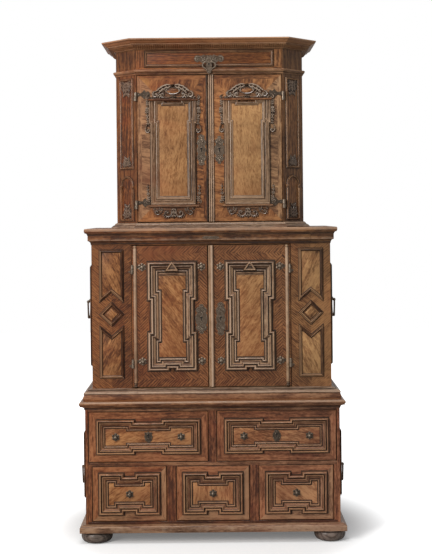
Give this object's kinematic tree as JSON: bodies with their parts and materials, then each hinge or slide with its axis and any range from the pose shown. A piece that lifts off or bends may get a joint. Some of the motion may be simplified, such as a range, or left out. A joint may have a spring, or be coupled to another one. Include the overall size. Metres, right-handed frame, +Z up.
{
  "type": "display cabinet",
  "caption": "Tall walnut cabinet in stacked tiers: moulded chest of drawers on bun feet, a cupboard with a hidden frieze drawer, and a canted upper cupboard under a cornice.",
  "frame": {"origin": "on the floor, in the middle of the overall footprint", "axes": "+X to the right seen from the front, -Y to the front, +Z up"},
  "size_m": [1.2222, 0.586, 2.266],
  "materials": {
    "walnut": "waxed walnut",
    "walnut_figured": "waxed figured walnut veneer",
    "walnut_moulding": "worn, waxed walnut",
    "pine": "bare, aged",
    "iron": "forged, dark, slightly worn"
  },
  "bodies": {
    "carcase": {"plinth": "walnut", "chest_sides": "walnut", "chest_face_frame": "walnut", "chest_top": "walnut", "chest_side_panels": "walnut", "middle_sides": "walnut", "middle_pilasters": "walnut", "middle_cornice": "walnut", "middle_side_panels": "walnut", "upper_sides": "walnut", "upper_posts": "walnut", "upper_frieze": "walnut", "cornice": "walnut", "bun_feet": "walnut_moulding", "middle_base_moulding": "walnut_moulding", "pilaster_mouldings": "walnut_moulding", "upper_base_moulding": "walnut_moulding", "post_mouldings": "walnut_moulding", "chest_boards": "pine", "back_boards": "pine", "middle_boards": "pine", "upper_boards": "pine", "hinge_pintles": "iron", "handle_eyes": "iron"},
    "drawer_upper_left": {"drawer_upper_left_front": "walnut_figured", "drawer_upper_left_box": "pine", "drawer_upper_left_iron": "iron"},
    "drawer_upper_right": {"drawer_upper_right_front": "walnut_figured", "drawer_upper_right_box": "pine", "drawer_upper_right_iron": "iron"},
    "drawer_lower_left": {"drawer_lower_left_front": "walnut_figured", "drawer_lower_left_box": "pine", "drawer_lower_left_iron": "iron"},
    "drawer_lower_middle": {"drawer_lower_middle_front": "walnut_figured", "drawer_lower_middle_box": "pine", "drawer_lower_middle_iron": "iron"},
    "drawer_lower_right": {"drawer_lower_right_front": "walnut_figured", "drawer_lower_right_box": "pine", "drawer_lower_right_iron": "iron"},
    "cornice_drawer": {"cornice_drawer_front": "walnut_figured", "cornice_drawer_box": "pine", "cornice_drawer_escutcheon": "iron"},
    "hidden_drawer": {"hidden_drawer": "walnut", "hidden_drawer_keyplate": "iron"},
    "middle_door_left": {"middle_door_left": "walnut_figured", "middle_door_left_iron": "iron"},
    "middle_door_right": {"middle_door_right": "walnut_figured", "middle_door_right_iron": "iron"},
    "upper_door_left": {"upper_door_left": "walnut_figured", "upper_door_left_iron": "iron", "upper_door_left_carving": "walnut_moulding"},
    "upper_door_right": {"upper_door_right": "walnut_figured", "upper_door_right_iron": "iron", "upper_door_right_carving": "walnut_moulding"},
    "middle_lock_bolt": {"middle_lock_bolt": "iron"},
    "upper_lock_bolt": {"upper_lock_bolt": "iron"},
    "chest_bail_left": {"chest_bail_left": "iron"},
    "chest_bail_right": {"chest_bail_right": "iron"},
    "middle_bail_left": {"middle_bail_left": "iron"},
    "middle_bail_right": {"middle_bail_right": "iron"}
  },
  "joints": [
    {"name": "drawer_upper_left_slide", "type": "slide", "parent": "carcase", "child": "drawer_upper_left", "axis": [0, -1, 0], "range_m": [0, 0.34]},
    {"name": "drawer_upper_right_slide", "type": "slide", "parent": "carcase", "child": "drawer_upper_right", "axis": [0, -1, 0], "range_m": [0, 0.34]},
    {"name": "drawer_lower_left_slide", "type": "slide", "parent": "carcase", "child": "drawer_lower_left", "axis": [0, -1, 0], "range_m": [0, 0.34]},
    {"name": "drawer_lower_middle_slide", "type": "slide", "parent": "carcase", "child": "drawer_lower_middle", "axis": [0, -1, 0], "range_m": [0, 0.34]},
    {"name": "drawer_lower_right_slide", "type": "slide", "parent": "carcase", "child": "drawer_lower_right", "axis": [0, -1, 0], "range_m": [0, 0.34]},
    {"name": "cornice_drawer_slide", "type": "slide", "parent": "carcase", "child": "cornice_drawer", "axis": [0, -1, 0], "range_m": [0, 0.2]},
    {"name": "hidden_drawer_slide", "type": "slide", "parent": "carcase", "child": "hidden_drawer", "axis": [0, -1, 0], "range_m": [0, 0.25]},
    {"name": "middle_door_left_hinge", "type": "hinge", "parent": "carcase", "child": "middle_door_left", "pos_m": [-0.356, -0.2043, 1.003], "axis": [0, 0, -1], "range_deg": [0, 105]},
    {"name": "middle_door_right_hinge", "type": "hinge", "parent": "carcase", "child": "middle_door_right", "pos_m": [0.356, -0.2043, 1.003], "axis": [0, 0, 1], "range_deg": [0, 105]},
    {"name": "upper_door_left_hinge", "type": "hinge", "parent": "carcase", "child": "upper_door_left", "pos_m": [-0.339, -0.1143, 1.7665], "axis": [0, 0, -1], "range_deg": [0, 105]},
    {"name": "upper_door_right_hinge", "type": "hinge", "parent": "carcase", "child": "upper_door_right", "pos_m": [0.339, -0.1143, 1.7665], "axis": [0, 0, 1], "range_deg": [0, 105]},
    {"name": "middle_lock_bolt_slide", "type": "slide", "parent": "middle_door_right", "child": "middle_lock_bolt", "axis": [-1, 0, 0], "range_m": [0, 0.014]},
    {"name": "upper_lock_bolt_slide", "type": "slide", "parent": "upper_door_right", "child": "upper_lock_bolt", "axis": [-1, 0, 0], "range_m": [0, 0.014]},
    {"name": "chest_bail_left_hinge", "type": "hinge", "parent": "carcase", "child": "chest_bail_left", "pos_m": [-0.6041, 0.013, 0.294], "axis": [0, 1, 0], "range_deg": [0, 100]},
    {"name": "chest_bail_right_hinge", "type": "hinge", "parent": "carcase", "child": "chest_bail_right", "pos_m": [0.6041, 0.013, 0.294], "axis": [0, -1, 0], "range_deg": [0, 100]},
    {"name": "middle_bail_left_hinge", "type": "hinge", "parent": "carcase", "child": "middle_bail_left", "pos_m": [-0.5761, 0.0475, 1.058], "axis": [0, 1, 0], "range_deg": [0, 100]},
    {"name": "middle_bail_right_hinge", "type": "hinge", "parent": "carcase", "child": "middle_bail_right", "pos_m": [0.5761, 0.0475, 1.058], "axis": [0, -1, 0], "range_deg": [0, 100]}
  ]
}
